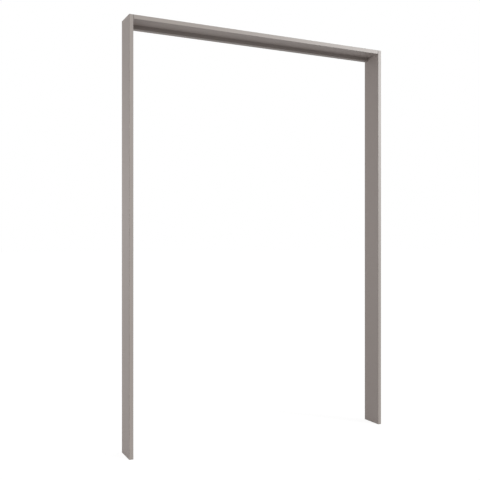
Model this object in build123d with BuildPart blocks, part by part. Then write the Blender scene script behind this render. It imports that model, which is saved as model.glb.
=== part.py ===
"""Doorway surround: two full-height jambs and a header of laminated board, with a rail behind the header.

Millimetres. The surround stands on the floor at Z = 0, the middle of its footprint is the origin,
and its front faces -Y. The boards are coated chipboard, closed with plastic edge bands. The header
hangs between the jambs on dowels and one cam fitting at each end, and carries the rail on screws.
"""
from build123d import *
import math
import os

# The whole surround
overall_height = 2300.0
overall_width = 1598.0
overall_depth = 138.0
board_thickness = 22.0

# Plastic edge bands, and the radius that each one is trimmed to along the board's faces
front_band_thickness = 1.0
front_arris_radius = 0.8
back_band_thickness = 1.0
back_arris_radius = 0.8
end_band_thickness = 1.0
end_arris_radius = 0.8

# Rail under the back of the header
rail_depth = 33.0
rail_drop = 20.0
rail_arris_radius = 1.0

# Play in the joints
header_end_clearance = 0.5
fitting_clearance = 0.1
bottom_clearance = 0.3

# Dowels between header and jamb
dowel_radius = 4.0
dowel_in_jamb = 11.0
dowel_in_header = 19.0
dowel_spacing = 64.0
dowel_end_chamfer = 1.0

# Cam fitting at each end of the header
cam_radius = 7.5
cam_inset = 34.0
cam_below_bolt = 5.0
cam_recess = 0.3
cam_slot_length = 9.0
cam_slot_width = 1.8
cam_slot_depth = 3.0

# Bolt that the cam pulls on, screwed into the jamb
bolt_thread_radius = 2.6
bolt_thread_length = 11.0
bolt_collar_radius = 3.8
bolt_neck_radius = 2.0
bolt_head_radius = 3.2
bolt_head_length = 3.0
bolt_play = 0.3

# Countersunk screws down through the header into the rail
screw_count = 5
screw_end_distance = 60.0
screw_length = 35.0
screw_radius = 2.0
screw_head_radius = 4.0
screw_head_angle = 90.0
screw_head_recess = 0.3
screw_tip_length = 4.0
screw_slot_length = 4.4
screw_slot_width = 1.1
screw_slot_depth = 1.4

# Places that follow from the sizes above
front_y = -overall_depth / 2
back_y = overall_depth / 2
core_front_y = front_y + front_band_thickness
core_back_y = back_y - back_band_thickness
core_depth = core_back_y - core_front_y
core_middle_y = (core_front_y + core_back_y) / 2
opening_width = overall_width - 2 * board_thickness
header_length = opening_width - 2 * header_end_clearance
header_bottom = overall_height - board_thickness
joint_height = overall_height - board_thickness / 2
cam_pocket_depth = board_thickness / 2 + cam_below_bolt
cam_x = header_length / 2 - cam_inset
rail_middle_y = back_y - rail_depth / 2
screw_depth_in_rail = screw_head_recess + screw_length + bottom_clearance - board_thickness
screw_head_rise = (screw_head_radius - screw_radius) / math.tan(math.radians(screw_head_angle / 2))
screw_pitch = (header_length - 2 * screw_end_distance) / (screw_count - 1)
screw_places = [-header_length / 2 + screw_end_distance + screw_pitch * i for i in range(screw_count)]

os.makedirs("parts", exist_ok=True)


def keep(part, name):
    part.label = name
    export_step(part, f"parts/{name}.step")


# Jambs: each is a full-height board with blind holes in its inner face for the header's fittings
for side, sign in (("left", -1), ("right", 1)):
    inner_x = sign * opening_width / 2
    middle_x = sign * (opening_width + board_thickness) / 2
    inner_face = Plane(origin=(inner_x, 0, joint_height), x_dir=(0, 1, 0), z_dir=(-sign, 0, 0))

    with BuildPart() as jamb:
        with BuildSketch(Plane.XY.offset(end_band_thickness)):
            with Locations((middle_x, core_middle_y)):
                Rectangle(board_thickness, core_depth)
        extrude(amount=overall_height - 2 * end_band_thickness)
        with BuildSketch(inner_face):
            with Locations((-dowel_spacing / 2, 0), (dowel_spacing / 2, 0)):
                Circle(dowel_radius + fitting_clearance)
        extrude(amount=-(dowel_in_jamb + bottom_clearance), mode=Mode.SUBTRACT)
        with BuildSketch(inner_face):
            Circle(bolt_thread_radius + fitting_clearance)
        extrude(amount=-(bolt_thread_length + bottom_clearance), mode=Mode.SUBTRACT)
    keep(jamb.part, f"{side}_jamb")

    # Short bands close the top and the foot, and the long bands run over their ends
    with BuildPart() as top_band:
        with BuildSketch(Plane.XY.offset(overall_height - end_band_thickness)):
            with Locations((middle_x, core_middle_y)):
                Rectangle(board_thickness, core_depth)
        extrude(amount=end_band_thickness)
        fillet(top_band.edges().filter_by(Axis.Y).group_by(Axis.Z)[-1], end_arris_radius)
    keep(top_band.part, f"{side}_jamb_top_band")

    with BuildPart() as foot_band:
        with BuildSketch(Plane.XY):
            with Locations((middle_x, core_middle_y)):
                Rectangle(board_thickness, core_depth)
        extrude(amount=end_band_thickness)
        fillet(foot_band.edges().filter_by(Axis.Y).group_by(Axis.Z)[0], end_arris_radius)
    keep(foot_band.part, f"{side}_jamb_foot_band")

    with BuildPart() as front_band:
        with BuildSketch(Plane.XY):
            with Locations((middle_x, (front_y + core_front_y) / 2)):
                Rectangle(board_thickness, front_band_thickness)
        extrude(amount=overall_height)
        fillet(front_band.edges().filter_by(Axis.Z).group_by(Axis.Y)[0], front_arris_radius)
    keep(front_band.part, f"{side}_jamb_front_band")

    with BuildPart() as back_band:
        with BuildSketch(Plane.XY):
            with Locations((middle_x, (back_y + core_back_y) / 2)):
                Rectangle(board_thickness, back_band_thickness)
        extrude(amount=overall_height)
        fillet(back_band.edges().filter_by(Axis.Z).group_by(Axis.Y)[-1], back_arris_radius)
    keep(back_band.part, f"{side}_jamb_back_band")


# Header: the board between the jambs, flush with them at the top, the front and the back
with BuildPart() as header:
    with BuildSketch(Plane.XY.offset(header_bottom)):
        with Locations((0, core_middle_y)):
            Rectangle(header_length, core_depth)
    extrude(amount=board_thickness)
    # Cam pockets in the top face, and the bolts' and dowels' bores in the two ends
    with BuildSketch(Plane.XY.offset(overall_height)):
        with Locations((-cam_x, 0), (cam_x, 0)):
            Circle(cam_radius + fitting_clearance)
    extrude(amount=-cam_pocket_depth, mode=Mode.SUBTRACT)
    for sign in (-1, 1):
        end_face = Plane(
            origin=(sign * header_length / 2, 0, joint_height), x_dir=(0, 1, 0), z_dir=(sign, 0, 0)
        )
        with BuildSketch(end_face):
            Circle(bolt_collar_radius + fitting_clearance)
        extrude(amount=-cam_inset, mode=Mode.SUBTRACT)
        with BuildSketch(end_face):
            with Locations((-dowel_spacing / 2, 0), (dowel_spacing / 2, 0)):
                Circle(dowel_radius + fitting_clearance)
        extrude(amount=-(dowel_in_header + bottom_clearance), mode=Mode.SUBTRACT)
    with Locations(*[(x, rail_middle_y, overall_height) for x in screw_places]):
        CounterSinkHole(
            screw_radius + fitting_clearance,
            screw_head_radius + screw_head_recess + fitting_clearance,
            board_thickness,
            screw_head_angle,
        )
keep(header.part, "header")

with BuildPart() as header_front_band:
    with BuildSketch(Plane.XY.offset(header_bottom)):
        with Locations((0, (front_y + core_front_y) / 2)):
            Rectangle(header_length, front_band_thickness)
    extrude(amount=board_thickness)
    fillet(header_front_band.edges().filter_by(Axis.X).group_by(Axis.Y)[0], front_arris_radius)
keep(header_front_band.part, "header_front_band")

with BuildPart() as header_back_band:
    with BuildSketch(Plane.XY.offset(header_bottom)):
        with Locations((0, (back_y + core_back_y) / 2)):
            Rectangle(header_length, back_band_thickness)
    extrude(amount=board_thickness)
    outer_edges = header_back_band.edges().filter_by(Axis.X).group_by(Axis.Y)[-1]
    fillet(outer_edges.group_by(Axis.Z)[-1], back_arris_radius)
keep(header_back_band.part, "header_back_band")

# Rail: a foil-wrapped batten screwed up against the underside of the header, flush with its back
with BuildPart() as header_rail:
    with BuildSketch(Plane.XY.offset(header_bottom - rail_drop)):
        with Locations((0, rail_middle_y)):
            Rectangle(header_length, rail_depth)
    extrude(amount=rail_drop)
    fillet(header_rail.edges().filter_by(Axis.X).group_by(Axis.Z)[0], rail_arris_radius)
    with BuildSketch(Plane.XY.offset(header_bottom)):
        with Locations(*[(x, rail_middle_y) for x in screw_places]):
            Circle(screw_radius + fitting_clearance)
    extrude(amount=-screw_depth_in_rail, mode=Mode.SUBTRACT)
keep(header_rail.part, "header_rail")

# Rail screws: countersunk wood screws with a cross slot, their heads just under the header's top face
screw_head_z = overall_height - screw_head_recess
for number, x in enumerate(screw_places, start=1):
    with BuildPart() as rail_screw:
        screw_plane = Plane(origin=(x, rail_middle_y, screw_head_z), x_dir=(1, 0, 0), z_dir=(0, -1, 0))
        with BuildSketch(screw_plane):
            with BuildLine():
                Polyline(
                    (0, 0),
                    (screw_head_radius, 0),
                    (screw_radius, -screw_head_rise),
                    (screw_radius, screw_tip_length - screw_length),
                    (0, -screw_length),
                    close=True,
                )
            make_face()
        revolve(axis=Axis((x, rail_middle_y, screw_head_z), (0, 0, 1)))
        with BuildSketch(Plane.XY.offset(screw_head_z)):
            with Locations((x, rail_middle_y)):
                Rectangle(screw_slot_length, screw_slot_width)
                Rectangle(screw_slot_width, screw_slot_length)
        extrude(amount=-screw_slot_depth, mode=Mode.SUBTRACT)
    keep(rail_screw.part, f"rail_screw_{number}")

# Header joints: at each end two dowels, and a bolt in the jamb that the header's cam grips by its head
for side, sign in (("left", -1), ("right", 1)):
    inner_x = sign * opening_width / 2
    inner_face = Plane(origin=(inner_x, 0, joint_height), x_dir=(0, 1, 0), z_dir=(-sign, 0, 0))
    head_reach = cam_inset + header_end_clearance + bolt_head_length / 2
    neck_end = head_reach - bolt_head_length
    collar_end = cam_inset + header_end_clearance - cam_radius - bolt_play

    for place, y in (("front", -dowel_spacing / 2), ("back", dowel_spacing / 2)):
        with BuildPart() as dowel:
            with BuildSketch(inner_face.offset(-dowel_in_jamb)):
                with Locations((y, 0)):
                    Circle(dowel_radius)
            extrude(amount=dowel_in_jamb + dowel_in_header)
            chamfer(dowel.edges().filter_by(GeomType.CIRCLE), dowel_end_chamfer)
        keep(dowel.part, f"{side}_{place}_dowel")

    with BuildPart() as cam_bolt:
        with BuildSketch(inner_face.offset(-bolt_thread_length)):
            Circle(bolt_thread_radius)
        extrude(amount=bolt_thread_length)
        with BuildSketch(inner_face):
            Circle(bolt_collar_radius)
        extrude(amount=collar_end)
        with BuildSketch(inner_face.offset(collar_end)):
            Circle(bolt_neck_radius)
        extrude(amount=neck_end - collar_end)
        with BuildSketch(inner_face.offset(neck_end)):
            Circle(bolt_head_radius)
        extrude(amount=bolt_head_length)
    keep(cam_bolt.part, f"{side}_cam_bolt")

    cam_top = overall_height - cam_recess
    cam_bottom = overall_height - cam_pocket_depth + bottom_clearance
    with BuildPart() as header_cam:
        with BuildSketch(Plane.XY.offset(cam_bottom)):
            with Locations((sign * cam_x, 0)):
                Circle(cam_radius)
        extrude(amount=cam_top - cam_bottom)
        # Hollow that holds the bolt's head, and the narrower gap that its neck comes in through
        with BuildSketch(Plane.YZ.offset(sign * cam_x)):
            with Locations((0, joint_height)):
                Circle(bolt_head_radius + bolt_play)
        extrude(amount=bolt_head_length / 2 + bolt_play, both=True, mode=Mode.SUBTRACT)
        with BuildSketch(Plane.YZ.offset(sign * cam_x)):
            with Locations((0, joint_height)):
                Circle(bolt_neck_radius + bolt_play)
        extrude(amount=sign * (cam_radius + bolt_play), mode=Mode.SUBTRACT)
        with BuildSketch(Plane.XY.offset(cam_top)):
            with Locations((sign * cam_x, 0)):
                Rectangle(cam_slot_length, cam_slot_width)
                Rectangle(cam_slot_width, cam_slot_length)
        extrude(amount=-cam_slot_depth, mode=Mode.SUBTRACT)
    keep(header_cam.part, f"{side}_header_cam")
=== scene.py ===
"""Doorway surround of coated board: two jambs, a header between them and a rail under the header's back.

The surround stands on the floor at Z = 0 and its front faces -Y. Lengths are in metres.
"""
import math

import bmesh
import bpy
from mathutils import Matrix, Vector


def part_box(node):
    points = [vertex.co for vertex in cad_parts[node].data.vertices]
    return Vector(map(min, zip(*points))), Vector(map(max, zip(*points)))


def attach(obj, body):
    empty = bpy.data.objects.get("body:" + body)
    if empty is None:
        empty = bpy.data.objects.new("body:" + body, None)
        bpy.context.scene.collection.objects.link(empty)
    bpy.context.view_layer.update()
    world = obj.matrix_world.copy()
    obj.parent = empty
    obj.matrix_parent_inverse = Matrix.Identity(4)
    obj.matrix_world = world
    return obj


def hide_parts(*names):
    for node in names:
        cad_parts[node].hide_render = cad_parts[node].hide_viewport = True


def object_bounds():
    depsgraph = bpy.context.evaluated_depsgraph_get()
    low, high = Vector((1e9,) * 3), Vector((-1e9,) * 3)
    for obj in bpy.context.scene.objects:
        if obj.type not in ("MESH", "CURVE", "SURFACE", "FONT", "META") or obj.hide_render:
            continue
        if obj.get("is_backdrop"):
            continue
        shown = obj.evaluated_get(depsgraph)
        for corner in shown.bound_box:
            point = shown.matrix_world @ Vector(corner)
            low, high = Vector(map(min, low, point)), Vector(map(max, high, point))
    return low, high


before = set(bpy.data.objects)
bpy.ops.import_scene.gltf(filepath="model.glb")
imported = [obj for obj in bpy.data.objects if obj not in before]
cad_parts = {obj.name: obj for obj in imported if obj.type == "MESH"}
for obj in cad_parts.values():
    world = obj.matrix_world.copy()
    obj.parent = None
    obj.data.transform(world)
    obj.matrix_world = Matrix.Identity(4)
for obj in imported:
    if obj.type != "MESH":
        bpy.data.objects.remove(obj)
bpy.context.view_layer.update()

# Jambs: two full-height boards of coated chipboard, sawn to size, with raw chipboard at every cut.
# Their inner faces are drilled near the top for the dowels and the bolt that hold the header.
saw_ease = 0.00012
taupe = (0.386, 0.338, 0.316)
paper_ior = 1.25
chip_light = (0.52, 0.39, 0.26)
chip_middle = (0.40, 0.29, 0.18)
chip_dark = (0.25, 0.16, 0.095)
glue_brown = (0.13, 0.11, 0.10)
joint_height = 2.289
dowel_radius = 0.004
dowel_in_jamb = 0.011
dowel_middles = (-0.032, 0.032)
bolt_thread_radius = 0.0026
bolt_thread_length = 0.011
bore_play = 0.0001
bore_end_play = 0.0003
drill_clear = 0.002
drill_point = 0.12
weld_reach = 0.0000002
square_on = 0.999
x_axis, y_axis, z_axis = range(3)


class Shade:
    """A socket of a material's nodes, so that shader maths reads as plain arithmetic."""

    def __init__(self, tree, socket):
        self.tree = tree
        self.socket = socket

    def node(self, kind, inputs, output=0, stops=None, **settings):
        """Adds a node: its settings first, then the values or links of its inputs."""
        made = self.tree.nodes.new(kind)
        for name, value in settings.items():
            setattr(made, name, value)
        if stops:
            ramp = made.color_ramp.elements
            while len(ramp) < len(stops):
                ramp.new(1)
            for element, (place, colour) in zip(ramp, stops):
                element.position = place
                element.color = (*colour, 1)
        for key, value in inputs.items():
            if isinstance(value, Shade):
                self.tree.links.new(value.socket, made.inputs[key])
            else:
                made.inputs[key].default_value = value
        return Shade(self.tree, made.outputs[output]) if made.outputs else None

    def maths(self, operation, first, second):
        return self.node("ShaderNodeMath", {0: first, 1: second}, operation=operation)

    def __add__(self, other):
        return self.maths("ADD", self, other)

    def __sub__(self, other):
        return self.maths("SUBTRACT", self, other)

    def __rsub__(self, other):
        return self.maths("SUBTRACT", other, self)

    def __mul__(self, other):
        return self.maths("MULTIPLY", self, other)

    __radd__ = __add__
    __rmul__ = __mul__


def new_finish(name):
    """A material, its surface, and the place on the object, in metres, that its patterns start from."""
    material = bpy.data.materials.new(name)
    material.use_nodes = True
    tree = material.node_tree
    place = Shade(tree, tree.nodes.new("ShaderNodeTexCoord").outputs["Object"])
    return material, tree.nodes["Principled BSDF"], place


def dress(surface, **sockets):
    """Sets or links the surface's sockets, named with an underscore for each space."""
    for name, value in sockets.items():
        socket = surface.inputs[name.replace("_", " ")]
        if isinstance(value, Shade):
            value.tree.links.new(value.socket, socket)
        else:
            socket.default_value = value


def stretched(place, x, y, z):
    """The place with each axis drawn out, so that a pattern at scale 1 repeats x, y and z times a metre."""
    return place.node("ShaderNodeVectorMath", {0: place, 1: (x, y, z)}, operation="MULTIPLY")


def noise(place, per_metre, detail=2.0, roughness=0.5):
    """An uneven pattern from 0 to 1, with the given number of spots to the metre."""
    inputs = {"Vector": place, "Scale": per_metre, "Detail": detail, "Roughness": roughness}
    return place.node("ShaderNodeTexNoise", inputs)


def tinted(strength, colour):
    """The colour made lighter or darker by a strength around 1."""
    return strength.node("ShaderNodeVectorMath", {0: colour, "Scale": strength}, operation="SCALE")


def raised(height, metres, over=None):
    """A bump as high as metres where height is 1, on top of another bump if one is given."""
    inputs = {"Strength": 1.0, "Distance": metres, "Height": height}
    if over:
        inputs["Normal"] = over
    return height.node("ShaderNodeBump", inputs)


# Pressed melamine paper: an even taupe with a faint cloudiness, fine pigment and a pearl texture
coated_board, surface, place = new_finish("board_face")
cloud = noise(place, 9, detail=3)
pigment = noise(place, 1300)
pearl = noise(place, 420)
grit = noise(place, 2600, detail=1)
dress(
    surface,
    Base_Color=tinted(0.976 + cloud * 0.028 + pigment * 0.020, taupe),
    Roughness=0.47 + pearl * 0.05 + cloud * 0.02,
    IOR=paper_ior,
    Normal=raised(grit, 0.0000015, over=raised(pearl, 0.000006)),
)

# Sawn or drilled chipboard: pressed flakes of softwood, some darker with bark and glue
raw_chipboard, surface, place = new_finish("board_core")
flake_inputs = {"Vector": stretched(place, 300, 300, 520), "Scale": 1.0, "Randomness": 1.0}
flake = place.node("ShaderNodeTexVoronoi", flake_inputs, output="Color")
flake_shade = flake.node("ShaderNodeSeparateColor", {0: flake})
dust = noise(place, 1800, detail=3, roughness=0.7)
mixed = flake_shade * 0.7 + dust * 0.3
chip_stops = [(0.15, chip_dark), (0.5, chip_middle), (0.85, chip_light)]
dress(
    surface,
    Base_Color=mixed.node("ShaderNodeValToRGB", {0: mixed}, stops=chip_stops),
    Roughness=0.82 + dust * 0.12,
    Normal=raised(mixed, 0.00012),
)

# Hot-melt glue and the cut edge of the coating, seen as a hairline wherever two parts meet
glue_line, surface, place = new_finish("glue_line")
smear = noise(place, 700, detail=3)
dress(
    surface,
    Base_Color=tinted(0.8 + smear * 0.4, glue_brown),
    Roughness=0.45 + smear * 0.2,
    Normal=raised(smear, 0.00001),
)


def turned(outline, steps=48, ripple=None, first_step=0.0):
    """A closed lathe form about Z. The outline runs upwards as (radius, height), and ripple moves each
    radius by its angle and height."""
    form = bmesh.new()
    rings = []
    for radius, height in outline:
        if radius == 0:
            rings.append([form.verts.new((0, 0, height))] * steps)
            continue
        ring = []
        for step in range(steps):
            angle = 2 * math.pi * (step + first_step) / steps
            reach = radius + (ripple(angle, height) if ripple else 0)
            ring.append(form.verts.new((reach * math.cos(angle), reach * math.sin(angle), height)))
        rings.append(ring)
    for below, above in zip(rings, rings[1:]):
        for step in range(steps):
            after = (step + 1) % steps
            corners = [below[step], below[after], above[after], above[step]]
            form.faces.new(list(dict.fromkeys(corners)))
    return form


def placed(form, name, at=(0, 0, 0), along=(0, 0, 1)):
    """Turns a form from Z to the direction along, moves it to its place, and makes an object of it."""
    turn = Vector((0, 0, 1)).rotation_difference(Vector(along)).to_matrix().to_4x4()
    bmesh.ops.transform(form, matrix=Matrix.Translation(at) @ turn, verts=form.verts)
    mesh = bpy.data.meshes.new(name)
    form.to_mesh(mesh)
    form.free()
    made = bpy.data.objects.new(name, mesh)
    bpy.context.scene.collection.objects.link(made)
    return made


def bore(at, along, radius, depth):
    """A drill for one blind hole: it starts a little outside the surface and ends in a shallow point."""
    outline = [(0, -drill_clear), (radius, -drill_clear), (radius, depth), (0, depth + radius * drill_point)]
    return placed(turned(outline), "drill", at, along)


def cut(piece, cutters):
    """Takes each cutter's form out of the piece, and throws the cutters away."""
    for cutter in cutters:
        boolean = piece.modifiers.new("cut", "BOOLEAN")
        boolean.operation = "DIFFERENCE"
        boolean.solver = "EXACT"
        boolean.object = cutter
    bpy.context.view_layer.update()
    shape = bpy.data.meshes.new_from_object(piece.evaluated_get(bpy.context.evaluated_depsgraph_get()))
    form = bmesh.new()
    form.from_mesh(shape)
    bmesh.ops.dissolve_degenerate(form, dist=weld_reach, edges=form.edges)
    form.to_mesh(shape)
    form.free()
    piece.modifiers.clear()
    old = piece.data
    piece.data = shape
    shape.name = piece.name
    bpy.data.meshes.remove(old)
    for cutter in cutters:
        bpy.data.meshes.remove(cutter.data)


def smoothed(piece, sharp_degrees=35):
    """Smooth shading that keeps flat faces flat and edges above the angle crisp."""
    piece.data.shade_smooth()
    piece.data.set_sharp_from_angle(angle=math.radians(sharp_degrees))
    even = piece.modifiers.new("even_normals", "WEIGHTED_NORMAL")
    even.weight = 100
    even.keep_sharp = True


def fitted(piece, node):
    """The piece stands for its CAD node, which is hidden, and stays with the surround."""
    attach(piece, "root")
    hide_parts(node)


def board(node, thin, drills):
    """A coated board in its node's place: thin is the axis that its two coated faces look along."""
    low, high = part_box(node)
    form = bmesh.new()
    bmesh.ops.create_cube(form, size=1)
    bmesh.ops.scale(form, vec=high - low, verts=form.verts)
    bmesh.ops.translate(form, vec=(low + high) / 2, verts=form.verts)
    bmesh.ops.bevel(form, geom=form.edges[:], offset=saw_ease, segments=2, profile=0.5, affect="EDGES")
    piece = placed(form, node + "_board")
    cut(piece, drills)
    for material in (coated_board, raw_chipboard, glue_line):
        piece.data.materials.append(material)
    coated, raw, glued = range(3)
    for face in piece.data.polygons:
        gaps = [min(face.center[axis] - low[axis], high[axis] - face.center[axis]) for axis in range(3)]
        near = sum(gap < saw_ease for gap in gaps)
        flat = max(abs(part) for part in face.normal) > square_on
        if flat and gaps[thin] < saw_ease:
            face.material_index = coated
        elif near > 1 or (near and not flat):
            face.material_index = glued
        else:
            face.material_index = raw
    smoothed(piece)
    fitted(piece, node)


for node, inward in (("left_jamb", 1), ("right_jamb", -1)):
    low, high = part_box(node)
    inner_x = high.x if inward > 0 else low.x
    drills = [bore((inner_x, 0, joint_height), (-inward, 0, 0), bolt_thread_radius + bore_play,
                   bolt_thread_length + bore_end_play)]
    for y in dowel_middles:
        drills.append(bore((inner_x, y, joint_height), (-inward, 0, 0), dowel_radius + bore_play,
                           dowel_in_jamb + bore_end_play))
    board(node, x_axis, drills)

# Edge bands: extruded plastic, 1 mm thick, glued to every cut edge of the boards that shows.
# Their outer arrises are rounded by milling after gluing, which leaves fine marks there.
# Painted shade darkens those arrises, most on the jambs' long arrises.
band_arris = 0.0008
band_end_ease = 0.0002
glued_ease = 0.00012
least_round = 0.00002
arris_steps = 8
arris_sharp_degrees = 40
header_band_short = 0.0005
header_band_end_steps = 6
band_taupe = (0.373, 0.332, 0.304)
lines_across = 1100
lines_along = 5
# Painted shade: how much darker the arrises are drawn
painted_arris_shade = (0.6, 0.6, 0.85)  # on bands along X, Y and Z
milling_starts = 0.995
milling_full = 0.96
mill_mark_spacing = 0.0011


def band_finish(name, along):
    """The band's plastic, with its extrusion lines running along the axis of that number.
    The rounded arrises are where the surface faces along none of the three axes, and painted shade darkens
    them."""
    material, surface, place = new_finish(name)
    lines_per_metre = [lines_across] * 3
    lines_per_metre[along] = lines_along
    drawn = noise(stretched(place, *lines_per_metre), 1)
    cloud = noise(place, 7)
    pigment = noise(place, 1500)
    facing = place.node("ShaderNodeNewGeometry", {}, output="Normal")
    facing = facing.node("ShaderNodeVectorMath", {0: facing}, operation="ABSOLUTE")
    sides = [facing.node("ShaderNodeSeparateXYZ", {0: facing}, output=axis) for axis in range(3)]
    flatness = facing.node("ShaderNodeMath", {0: sides[0], 1: sides[1]}, operation="MAXIMUM")
    flatness = flatness.node("ShaderNodeMath", {0: flatness, 1: sides[2]}, operation="MAXIMUM")
    milling = {"Value": flatness, "From Min": milling_starts, "From Max": milling_full}
    rounding = flatness.node("ShaderNodeMapRange", milling)
    # Painted shade: the arrises' colour is drawn darker, most on the jambs' bands
    painted_arris_tint = tinted(1 - rounding * painted_arris_shade[along], (1, 1, 1))
    length = place.node("ShaderNodeSeparateXYZ", {0: place}, output=along)
    marks = length * (2 * math.pi / mill_mark_spacing) + drawn * 1.5
    chatter = marks.node("ShaderNodeMath", {0: marks}, operation="SINE") * rounding
    plastic = tinted(0.978 + cloud * 0.022 + pigment * 0.012 + drawn * 0.010, band_taupe)
    dress(
        surface,
        Base_Color=plastic.node("ShaderNodeVectorMath", {0: plastic, 1: painted_arris_tint}, operation="MULTIPLY"),
        Roughness=0.385 + drawn * 0.05 + rounding * 0.03,
        Normal=raised(chatter, 0.0000012, over=raised(drawn, 0.0000012)),
    )
    return material


band_finishes = [band_finish("band_plastic_" + "xyz"[axis], axis) for axis in range(3)]


def strip(name, node, along, corners, ends, materials, end_steps=1, short=0.0):
    """A bar in its node's place, along one axis. The corners give the roundings at (low, low), (high, low),
    (high, high) and (low, high) of the other two axes, and the glued ones carry the second material.
    Its ends are eased on the sides that aren't glued, and each stops short of the node's end by short."""
    low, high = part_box(node)
    across = [axis for axis in range(3) if axis != along]
    glued = [radius <= glued_ease for radius in corners]
    free_low = [not (glued[0] and glued[3]), not (glued[0] and glued[1])]
    free_high = [not (glued[1] and glued[2]), not (glued[2] and glued[3])]

    def ring(form, inset, station):
        """The bar's outline at one station of its run, drawn in by inset where it isn't glued."""
        points = []
        for number, radius in enumerate(corners):
            radius = max(radius - inset, least_round)
            turn_start = (2, 3, 0, 1)[number] * math.pi / 2
            for step in range(arris_steps + 1):
                angle = turn_start + step * math.pi / 2 / arris_steps
                point = [0, 0, 0]
                for part, (axis, wave) in enumerate(zip(across, (math.cos(angle), math.sin(angle)))):
                    at_high = number in ((1, 2), (2, 3))[part]
                    if at_high:
                        middle = high[axis] - inset * free_high[part] - radius
                    else:
                        middle = low[axis] + inset * free_low[part] + radius
                    point[axis] = middle + radius * wave
                point[along] = station
                points.append(form.verts.new(point))
        return points

    form = bmesh.new()
    turns = [step * math.pi / 2 / end_steps for step in range(end_steps + 1)]
    eased = [(ends * (1 - math.sin(turn)), ends * (1 - math.cos(turn))) for turn in turns]
    rings = [ring(form, inset, low[along] + short + reach) for inset, reach in eased]
    rings += [ring(form, inset, high[along] - short - reach) for inset, reach in reversed(eased)]
    count = len(rings[0])
    for first, second in zip(rings, rings[1:]):
        for step in range(count):
            after = (step + 1) % count
            face = form.faces.new((first[step], first[after], second[after], second[step]))
            corner = step // (arris_steps + 1)
            in_corner = step % (arris_steps + 1) < arris_steps
            seam = glued[corner] and (in_corner or glued[(corner + 1) % 4])
            face.material_index = 1 if seam else 0
    # Ends stopped short take the dark glue finish: painted shade in the joint gap they face
    for outline in (rings[0][::-1], rings[-1]):
        form.faces.new(outline).material_index = 1 if short else 0
    if along == y_axis:  # X and Z turn the other way about Y, so these faces look inwards
        bmesh.ops.reverse_faces(form, faces=form.faces[:])
    piece = placed(form, name)
    for material in materials:
        piece.data.materials.append(material)
    smoothed(piece, arris_sharp_degrees)
    return piece


def band(node, along, corners, ends=band_end_ease, end_steps=1, short=0.0):
    """An edge band, made as a strip of the plastic whose lines run its way."""
    finishes = (band_finishes[along], glue_line)
    piece = strip(node + "_strip", node, along, corners, ends, finishes, end_steps, short)
    fitted(piece, node)


for side in ("left", "right"):
    band(f"{side}_jamb_front_band", z_axis, (band_arris, band_arris, glued_ease, glued_ease))
    band(f"{side}_jamb_back_band", z_axis, (glued_ease, glued_ease, band_arris, band_arris))
    band(f"{side}_jamb_top_band", y_axis, (glued_ease, glued_ease, band_arris, band_arris))
    band(f"{side}_jamb_foot_band", y_axis, (band_arris, band_arris, glued_ease, glued_ease))
band("header_front_band", x_axis, (band_arris, glued_ease, glued_ease, band_arris), band_arris,
     header_band_end_steps, header_band_short)
band("header_back_band", x_axis, (glued_ease, glued_ease, band_arris, glued_ease))

# Header: a board of the same coated chipboard between the jambs, flush with their tops and edges.
# Its top is drilled for the two cams and the five rail screws, and its ends for bolts and dowels.
dowel_in_header = 0.019
cam_radius = 0.0075
cam_middle = 0.7425
cam_pocket_depth = 0.016
bolt_collar_radius = 0.0038
screw_radius = 0.002
screw_head_radius = 0.004
screw_head_recess = 0.0003
countersink_clear = 0.001
rail_middle_y = 0.0525
down = (0, 0, -1)
rail_screws = [f"rail_screw_{number}" for number in range(1, 6)]

low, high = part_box("header")
header_top = high.z
header_thickness = high.z - low.z
drills = []
for sign, end_x in ((-1, low.x), (1, high.x)):
    drills.append(bore((sign * cam_middle, 0, header_top), down, cam_radius + bore_play, cam_pocket_depth))
    drills.append(bore((end_x, 0, joint_height), (-sign, 0, 0), bolt_collar_radius + bore_play,
                       abs(end_x) - cam_middle))
    for y in dowel_middles:
        drills.append(bore((end_x, y, joint_height), (-sign, 0, 0), dowel_radius + bore_play,
                           dowel_in_header + bore_end_play))
throat = screw_radius + bore_play
mouth = screw_head_radius + screw_head_recess + bore_play
through = header_thickness + drill_clear
outline = [(0, -countersink_clear), (mouth + countersink_clear, -countersink_clear),
           (throat, mouth - throat), (throat, through), (0, through)]
for node in rail_screws:
    screw_low, screw_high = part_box(node)
    middle_x = (screw_low.x + screw_high.x) / 2
    drills.append(placed(turned(outline), "countersink", (middle_x, rail_middle_y, header_top), down))
board("header", z_axis, drills)

# Rail: a square batten under the back of the header, wrapped in foil of the boards' colour.
# It is screwed up tight against the header, so its two upper edges are square.
rail_arris = 0.001
rail_skin = 0.0005
# Painted shade: the foil is drawn darker than the boards' taupe, for the shade under the header
foil_taupe_with_painted_shade = (0.323, 0.284, 0.265)
foil_ior = 1.25

foil_wrap, surface, place = new_finish("rail_foil")
wrapped = noise(stretched(place, 4, 500, 500), 1, detail=3)
pigment = noise(place, 1400)
swell = noise(place, 160)
dress(
    surface,
    Base_Color=tinted(0.975 + wrapped * 0.028 + pigment * 0.022, foil_taupe_with_painted_shade),
    Roughness=0.47 + wrapped * 0.06,
    IOR=foil_ior,
    Normal=raised(wrapped, 0.000003, over=raised(swell, 0.000010)),
)
rail_corners = (rail_arris, rail_arris, glued_ease, glued_ease)
rail = strip("header_rail_batten", "header_rail", x_axis, rail_corners, band_end_ease, (foil_wrap, glue_line))
low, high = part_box("header_rail")
drills = []
for node in rail_screws:
    screw_low, screw_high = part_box(node)
    middle_x = (screw_low.x + screw_high.x) / 2
    drills.append(bore((middle_x, rail_middle_y, high.z), down, screw_radius + bore_play,
                       high.z - screw_low.z + bore_end_play))
cut(rail, drills)
rail.data.materials.append(raw_chipboard)
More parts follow.
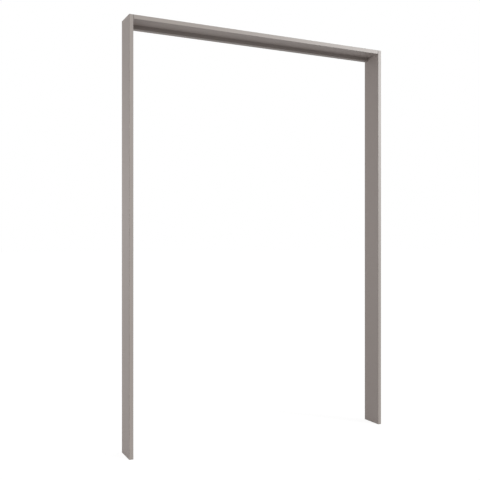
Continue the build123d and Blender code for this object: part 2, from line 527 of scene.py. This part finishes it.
for face in rail.data.polygons:
    depth = min(min(face.center[axis] - low[axis], high[axis] - face.center[axis]) for axis in range(3))
    in_bore = depth > rail_skin
    sawn_end = abs(face.normal.x) > square_on
    if in_bore or sawn_end:
        face.material_index = 2
smoothed(rail, arris_sharp_degrees)
fitted(rail, "header_rail")

# Rail screws: five countersunk chipboard screws of plated steel, driven down through the header.
# Their heads sit just under the header's top face and have a cross recess.
screw_plating = (0.66, 0.65, 0.62)
screw_tip = 0.004
screw_step = 0.0002
screw_rim = 0.00015
screw_rim_ease = 0.0001
thread_pitch = 0.0018
thread_depth = 0.00045
thread_crest = 0.28
thread_rings_a_turn = 8
thread_end_below_head = 0.008
plain_shank_length = 0.006
plain_shank_radius = screw_radius * 0.86
cross_length = 0.0044
cross_width = 0.0011
cross_depth = 0.0014
cross_clear = 0.0003
cross_taper_length = 0.5
cross_taper_width = 0.6

plated_steel, surface, place = new_finish("screw_plating")
polish = noise(place, 900, detail=3)
bloom = noise(place, 240)
dress(
    surface,
    Base_Color=tinted(0.86 + bloom * 0.22, screw_plating),
    Metallic=1.0,
    Roughness=0.24 + polish * 0.14,
    Normal=raised(polish, 0.000006),
)


def closed_form(below, above):
    """A form between two outlines with the same number of points, closed at both ends."""
    form = bmesh.new()
    rings = [[form.verts.new(point) for point in outline] for outline in (below, above)]
    for step in range(len(below)):
        after = (step + 1) % len(below)
        form.faces.new((rings[0][step], rings[0][after], rings[1][after], rings[1][step]))
    for ring in rings:
        form.faces.new(ring)
    bmesh.ops.recalc_face_normals(form, faces=form.faces)
    return form


def cross_outline(length, width, height):
    """The corners of two crossed bars, at one height."""
    half, arm = width / 2, length / 2
    corner = [(arm, -half), (arm, half), (half, half)]
    quarters = ((1, 0), (0, 1), (-1, 0), (0, -1))
    return [(x * cos - y * sin, x * sin + y * cos, height) for cos, sin in quarters for x, y in corner]


def cross_cutter(at, length, width, depth):
    """A cutter for a cross recess, from just above the head down to a smaller cross."""
    mouth = cross_outline(length, width, cross_clear)
    foot = cross_outline(length * cross_taper_length, width * cross_taper_width, -depth)
    return placed(closed_form(mouth, foot), "cross_cutter", at)


def thread(pitch, depth, low_end, high_end):
    """A screw thread's ripple: a sharp crest that winds up between two heights and fades out at both."""
    def ripple(angle, height):
        turn = (height / pitch - angle / (2 * math.pi)) % 1
        crest = max(0, 1 - abs(turn - 0.5) / thread_crest)
        fade = min(1, max(0, (height - low_end) / pitch), max(0, (high_end - height) / pitch))
        return depth * (crest - 1) * fade
    return ripple


for node in rail_screws:
    low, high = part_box(node)
    length = high.z - low.z
    under_head = length - (screw_head_radius - screw_radius)
    ring_gap = thread_pitch / thread_rings_a_turn
    count = round((under_head - screw_tip - thread_end_below_head) / ring_gap)
    outline = [(0, 0), (screw_radius * 0.15, screw_step), (screw_radius * 0.55, screw_tip * 0.5)]
    outline += [(screw_radius, screw_tip + ring_gap * step) for step in range(count + 1)]
    outline += [(plain_shank_radius, under_head - plain_shank_length),
                (plain_shank_radius, under_head - screw_step), (screw_radius, under_head),
                (screw_head_radius - screw_rim_ease, length - screw_rim - screw_rim_ease),
                (screw_head_radius, length - screw_rim), (screw_head_radius - screw_rim * 0.8, length),
                (0, length)]
    crests = thread(thread_pitch, thread_depth, screw_tip * 0.2, screw_tip + ring_gap * count)
    middle_x, middle_y = (low.x + high.x) / 2, (low.y + high.y) / 2
    piece = placed(turned(outline, steps=40, ripple=crests), node + "_steel", (middle_x, middle_y, low.z))
    cut(piece, [cross_cutter((middle_x, middle_y, high.z), cross_length, cross_width, cross_depth)])
    piece.data.materials.append(plated_steel)
    smoothed(piece)
    fitted(piece, node)

# Dowels: two fluted beech dowels at each end of the header.
# Each is glued partly in the header and partly in the jamb, and holds the two in line.
flute_count = 18
flute_depth = 0.0003
dowel_chamfer = 0.001
beech_light = (0.69, 0.50, 0.32)
beech_middle = (0.58, 0.39, 0.23)
beech_dark = (0.42, 0.26, 0.14)

beech, surface, place = new_finish("dowel_wood")
grain = noise(stretched(place, 60, 900, 900), 1, detail=4, roughness=0.6)
ray = noise(stretched(place, 250, 2600, 2600), 1, detail=1)
tone = grain * 0.75 + ray * 0.25
beech_stops = [(0.25, beech_dark), (0.5, beech_middle), (0.75, beech_light)]
dress(
    surface,
    Base_Color=tone.node("ShaderNodeValToRGB", {0: tone}, stops=beech_stops),
    Roughness=0.55 + grain * 0.15,
    Normal=raised(grain, 0.00002),
)


def flutes(angle, height):
    """The dowel's glue flutes, the same at every height."""
    return -flute_depth * abs(math.sin(angle * flute_count / 2)) ** 3


for node in ("left_front_dowel", "left_back_dowel", "right_front_dowel", "right_back_dowel"):
    low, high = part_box(node)
    length = high.x - low.x
    outline = [(0, 0), (dowel_radius - dowel_chamfer, 0), (dowel_radius, dowel_chamfer),
               (dowel_radius, length - dowel_chamfer), (dowel_radius - dowel_chamfer, length), (0, length)]
    start = (low.x, (low.y + high.y) / 2, (low.z + high.z) / 2)
    form = turned(outline, steps=flute_count * 8, ripple=flutes)
    piece = placed(form, node + "_beech", start, (1, 0, 0))
    piece.data.materials.append(beech)
    smoothed(piece)
    fitted(piece, node)

# Cam bolts: turned steel, plated, with a coarse thread that is screwed into the jamb.
# Each one's collar and neck reach into the header, and the cam there grips its head.
bolt_plating = (0.57, 0.55, 0.50)
bolt_pitch = 0.0022
bolt_thread_depth = 0.0006
bolt_tip_radius = bolt_thread_radius * 0.7
bolt_lead = 0.0004
bolt_step = 0.0002
bolt_ease = 0.0003
bolt_collar_end = 0.0267
bolt_collar_nose = 0.0008
bolt_neck_end = 0.0330
bolt_neck_radius = 0.002
bolt_head_radius = 0.0032
bolt_head_seat = 0.0004
bolt_head_rise = 0.0005
bolt_head_dome = 0.0009

bolt_steel, surface, place = new_finish("bolt_plating")
polish = noise(place, 700, detail=3)
dress(
    surface,
    Base_Color=tinted(0.84 + polish * 0.25, bolt_plating),
    Metallic=1.0,
    Roughness=0.30 + polish * 0.15,
    Normal=raised(polish, 0.000008),
)
for side, sign in (("left", -1), ("right", 1)):
    node = f"{side}_cam_bolt"
    low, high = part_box(node)
    length = high.x - low.x
    count = round(bolt_thread_length / (bolt_pitch / thread_rings_a_turn))
    threaded = bolt_thread_length - bolt_lead - bolt_step
    collar_end = bolt_thread_length + bolt_collar_end
    neck_end = bolt_thread_length + bolt_neck_end
    outline = [(0, 0), (bolt_tip_radius, 0)]
    outline += [(bolt_thread_radius, bolt_lead + threaded * step / count) for step in range(count + 1)]
    outline += [(bolt_collar_radius - bolt_ease, bolt_thread_length),
                (bolt_collar_radius, bolt_thread_length + bolt_ease),
                (bolt_collar_radius, collar_end - bolt_collar_nose),
                (bolt_collar_radius - bolt_collar_nose, collar_end),
                (bolt_neck_radius, collar_end + bolt_step),
                (bolt_neck_radius, neck_end - bolt_ease),
                (bolt_head_radius - bolt_head_seat, neck_end),
                (bolt_head_radius, neck_end + bolt_head_rise),
                (bolt_head_radius, length - bolt_head_dome),
                (bolt_head_radius - bolt_head_dome, length), (0, length)]
    start_x = high.x if sign > 0 else low.x
    form = turned(outline, ripple=thread(bolt_pitch, bolt_thread_depth, bolt_step, bolt_thread_length))
    piece = placed(form, node + "_steel", (start_x, 0, joint_height), (-sign, 0, 0))
    piece.data.materials.append(bolt_steel)
    smoothed(piece)
    fitted(piece, node)

# Cams: die-cast zinc drums in the header's top, each turned with a cross-head driver to grip its bolt.
# Their tops sit just under the board's face, with an arrow that points at the jamb.
zinc_grey = (0.50, 0.50, 0.51)
cam_edge = 0.0005
cam_play = 0.0003
cam_throat_half = 0.0018
cam_throat_reach = 0.010
cam_cross_length = 0.009
cam_cross_width = 0.0018
cam_cross_depth = 0.003
arrow_tip = 0.0066
arrow_foot = 0.0052
arrow_half_width = 0.0013
arrow_depth = 0.0002
arrow_clear = 0.0005

cast_zinc, surface, place = new_finish("cam_casting")
casting = noise(place, 1100, detail=4, roughness=0.6)
stain = noise(place, 180)
dress(
    surface,
    Base_Color=tinted(0.82 + casting * 0.18 + stain * 0.14, zinc_grey),
    Metallic=1.0,
    Roughness=0.36 + casting * 0.18,
    Normal=raised(casting, 0.00002),
)
wide, narrow = bolt_head_radius + cam_play, bolt_neck_radius + cam_play
hollow = [(0, -cam_throat_half), (wide, -cam_throat_half), (wide, cam_throat_half),
          (narrow, cam_throat_half), (narrow, cam_throat_reach), (0, cam_throat_reach)]
for side, sign in (("left", -1), ("right", 1)):
    node = f"{side}_header_cam"
    low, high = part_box(node)
    height = high.z - low.z
    middle_x, middle_y = (low.x + high.x) / 2, (low.y + high.y) / 2
    outline = [(0, 0), (cam_radius - cam_edge, 0), (cam_radius, cam_edge), (cam_radius, height - cam_edge),
               (cam_radius - cam_edge, height), (0, height)]
    piece = placed(turned(outline, steps=72), node + "_zinc", (middle_x, middle_y, low.z))
    # A first step off the whole keeps the hollow's corners clear of the drum's own
    hollow_form = turned(hollow, steps=44, first_step=0.37)
    points = [(arrow_tip, 0), (arrow_foot, arrow_half_width), (arrow_foot, -arrow_half_width)]
    arrow = [[(middle_x + sign * x, y, z) for x, y in points]
             for z in (high.z + arrow_clear, high.z - arrow_depth)]
    cut(piece, [
        placed(hollow_form, "hollow", (middle_x, 0, joint_height), (sign, 0, 0)),
        cross_cutter((middle_x, middle_y, high.z), cam_cross_length, cam_cross_width, cam_cross_depth),
        placed(closed_form(*arrow), "arrow"),
    ])
    piece.data.materials.append(cast_zinc)
    smoothed(piece)
    fitted(piece, node)

# Floor: a plain pale studio floor that shows white to the camera and in reflections.
# It keeps the surround's faint shadow, and sends plain light back up at the surround.
floor_reach = 60.0
floor_pale = (0.74, 0.74, 0.74, 1)
floor_shadowed = (0.3, 0.3, 0.3, 1)
floor_glow = 0.85
white = (1, 1, 1, 1)


def looking_rays(tree):
    """1 for the camera's rays and those mirrored by metal or let through by glass, and 0 for the rest."""
    path = tree.nodes.new("ShaderNodeLightPath").outputs
    kinds = ("Is Camera Ray", "Is Glossy Ray", "Is Transmission Ray")
    camera, mirrored, let_through = [Shade(tree, path[kind]) for kind in kinds]
    return camera + mirrored + let_through


form = bmesh.new()
bmesh.ops.create_grid(form, x_segments=1, y_segments=1, size=floor_reach)
floor = placed(form, "studio_floor")
floor_paint = bpy.data.materials.new("floor_paint")
floor_paint.use_nodes = True
floor_paint.node_tree.nodes.clear()
seen = looking_rays(floor_paint.node_tree)
plain = seen.node("ShaderNodeBsdfDiffuse", {"Color": floor_pale})
shadowed = seen.node("ShaderNodeBsdfDiffuse", {"Color": floor_shadowed})
glow = seen.node("ShaderNodeEmission", {"Color": white, "Strength": floor_glow})
shown = seen.node("ShaderNodeAddShader", {0: glow, 1: shadowed})
paint = seen.node("ShaderNodeMixShader", {0: seen, 1: plain, 2: shown})
paint.node("ShaderNodeOutputMaterial", {"Surface": paint})
floor.data.materials.append(floor_paint)
floor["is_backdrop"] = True

# Air round the surround: white to the camera and in reflections.
# To everything else it is a plain soft light from all sides.
air_light = 0.432

world = bpy.data.worlds.new("studio_air")
bpy.context.scene.world = world
world.use_nodes = True
strength = looking_rays(world.node_tree) * (1 - air_light) + air_light
background = world.node_tree.nodes["Background"]
background.inputs["Color"].default_value = white
world.node_tree.links.new(strength.socket, background.inputs["Strength"])

# Lamps: a broad key from the front right that puts a soft sheen on the front bands' upper right,
# and a soft lamp behind on the left that lights the faces turned left.
key_angle = 10.0
key_strength = 1.755
key_from = (0.6312, -0.7392, 0.2335)
key_place = (3, -3.5, 2.5)
back_lamp_size = 1.4
back_lamp_watts = 37.6
back_lamp_place = (-3.2, 2.4, 1.45)
back_lamp_aim = (0, 0, 1.3)


def lamp(name, kind, toward_lamp, at, **settings):
    """A lamp that shines from the direction toward_lamp and isn't seen itself."""
    light = bpy.data.lights.new(name, kind)
    for setting, value in settings.items():
        setattr(light, setting, value)
    made = bpy.data.objects.new(name, light)
    made.location = at
    made.rotation_euler = Vector(toward_lamp).to_track_quat("Z", "Y").to_euler()
    made.visible_camera = False
    bpy.context.scene.collection.objects.link(made)


lamp("key_lamp", "SUN", key_from, key_place, angle=math.radians(key_angle), energy=key_strength)
lamp("back_lamp", "AREA", Vector(back_lamp_place) - Vector(back_lamp_aim), back_lamp_place, shape="DISK",
     size=back_lamp_size, energy=back_lamp_watts)

# Camera: held level a little below half the surround's height, left of the opening.
# It looks to the right, so the jambs' left faces show and the header runs away from it.
lens_length = 51.451
sensor_width = 36.0
camera_place = (-1.8179, -3.5018, 1.1338)
camera_turn = -25.70

camera = bpy.data.cameras.new("camera")
camera.lens = lens_length
camera.sensor_width = sensor_width
viewer = bpy.data.objects.new("camera", camera)
viewer.location = camera_place
viewer.rotation_euler = (math.radians(90), 0, math.radians(camera_turn))
bpy.context.scene.collection.objects.link(viewer)
bpy.context.scene.camera = viewer
bpy.context.scene.view_settings.view_transform = "Standard"

# Sizes: the box round this model's shown meshes, leaving out the floor.
bpy.context.view_layer.update()
low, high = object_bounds()
